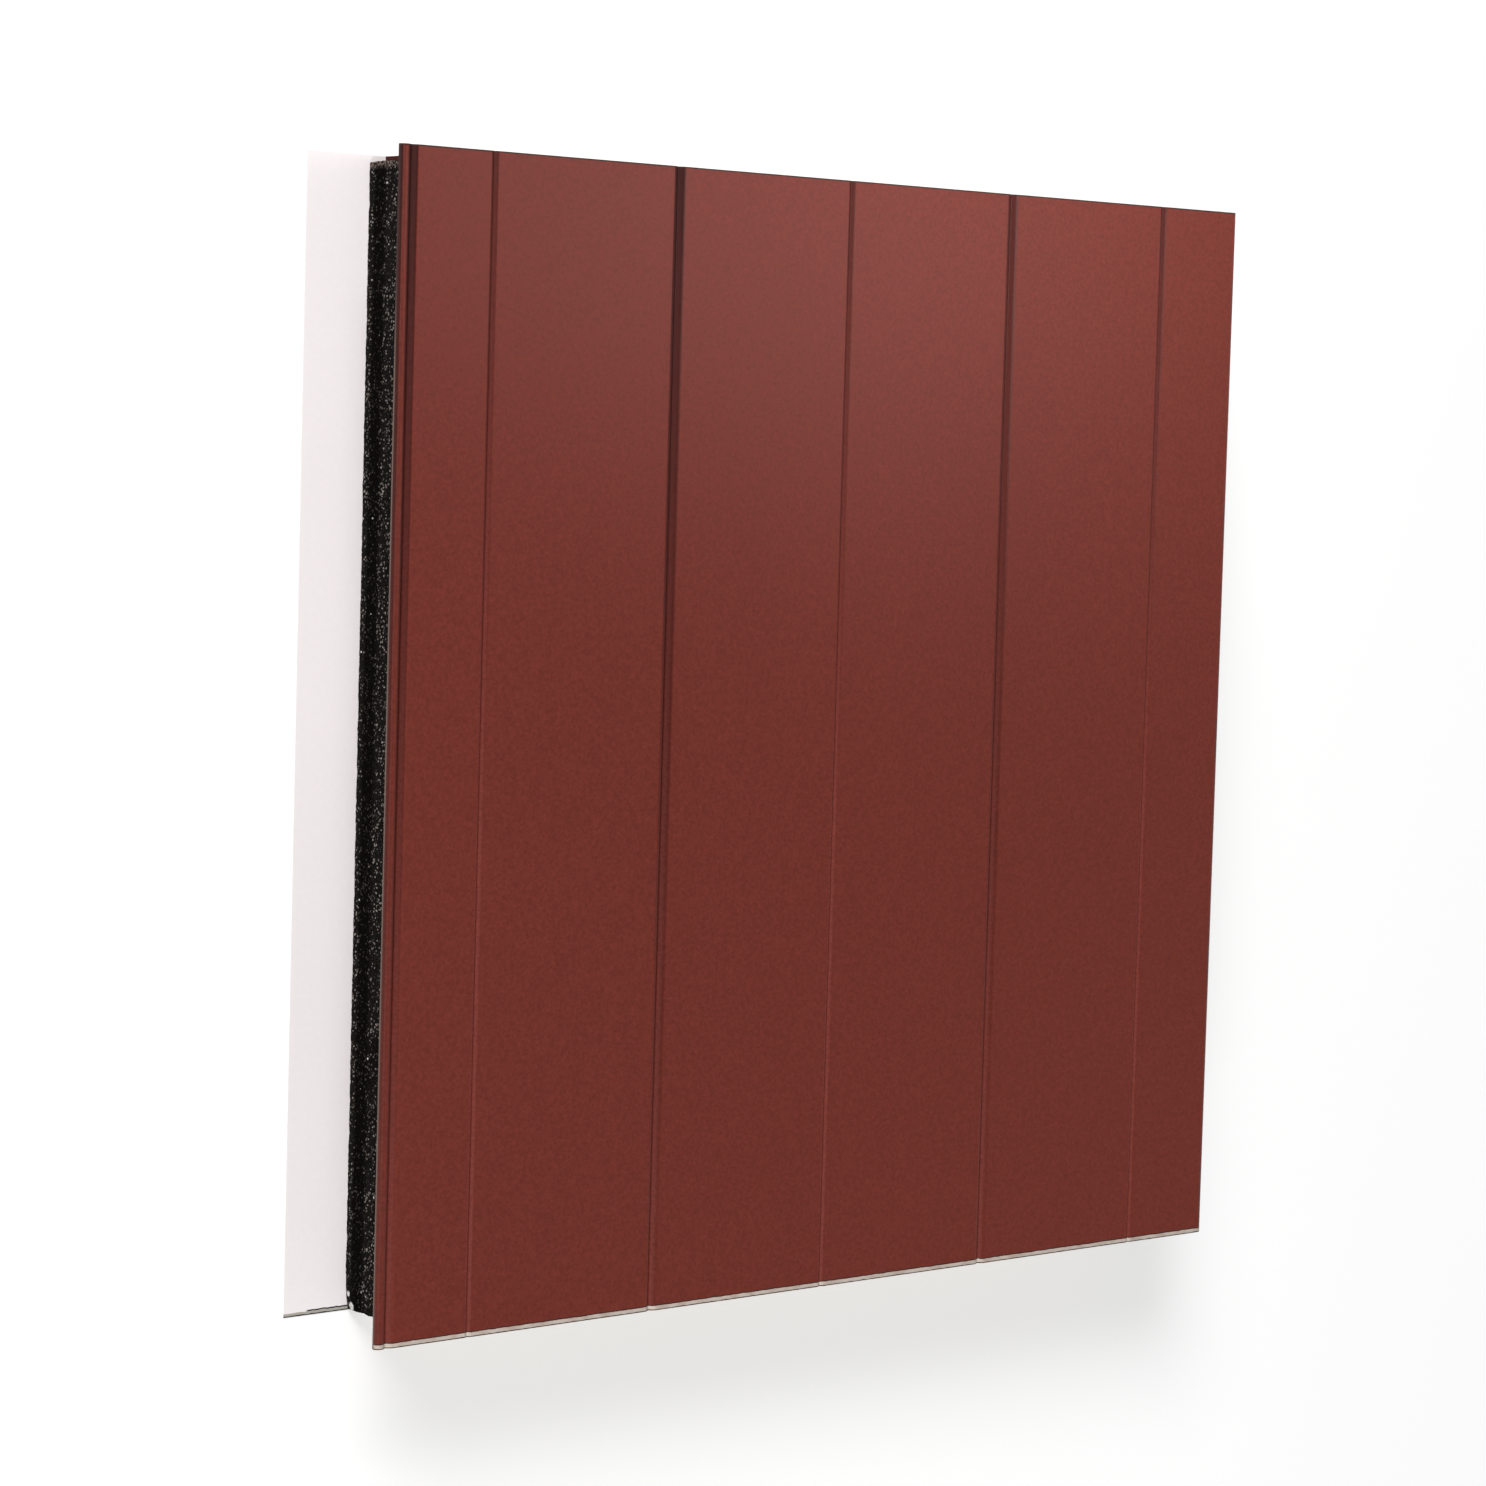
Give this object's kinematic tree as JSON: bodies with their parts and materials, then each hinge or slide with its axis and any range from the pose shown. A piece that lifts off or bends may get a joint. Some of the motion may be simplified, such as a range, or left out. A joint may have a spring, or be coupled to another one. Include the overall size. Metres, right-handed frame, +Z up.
{
  "type": "insulated sandwich panel",
  "caption": "Square insulated wall panel: grooved red-brown steel outside, white steel inside, rigid foam core, and an open joint with a black foam seal along one edge.",
  "frame": {"origin": "middle of the underside, on the floor that the inner facing lies on", "axes": "+X across the width, from the open joint at -X to the closed edge at +X; +Y along the length, towards the end where the seal stops short; +Z up, out of the grooved outer facing"},
  "size_m": [1, 1, 0.15],
  "materials": {
    "red_coated_steel": "satin red-brown coil coating with a fine grain",
    "white_coated_steel": "smooth off-white coil coating",
    "rigid_foam": "closed-cell rigid foam, sawn ends",
    "black_foam": "soft open-cell foam"
  },
  "bodies": {
    "root": {"outer_facing": "red_coated_steel", "inner_facing": "white_coated_steel", "insulation_core": "rigid_foam", "joint_seal": "black_foam"}
  },
  "joints": []
}
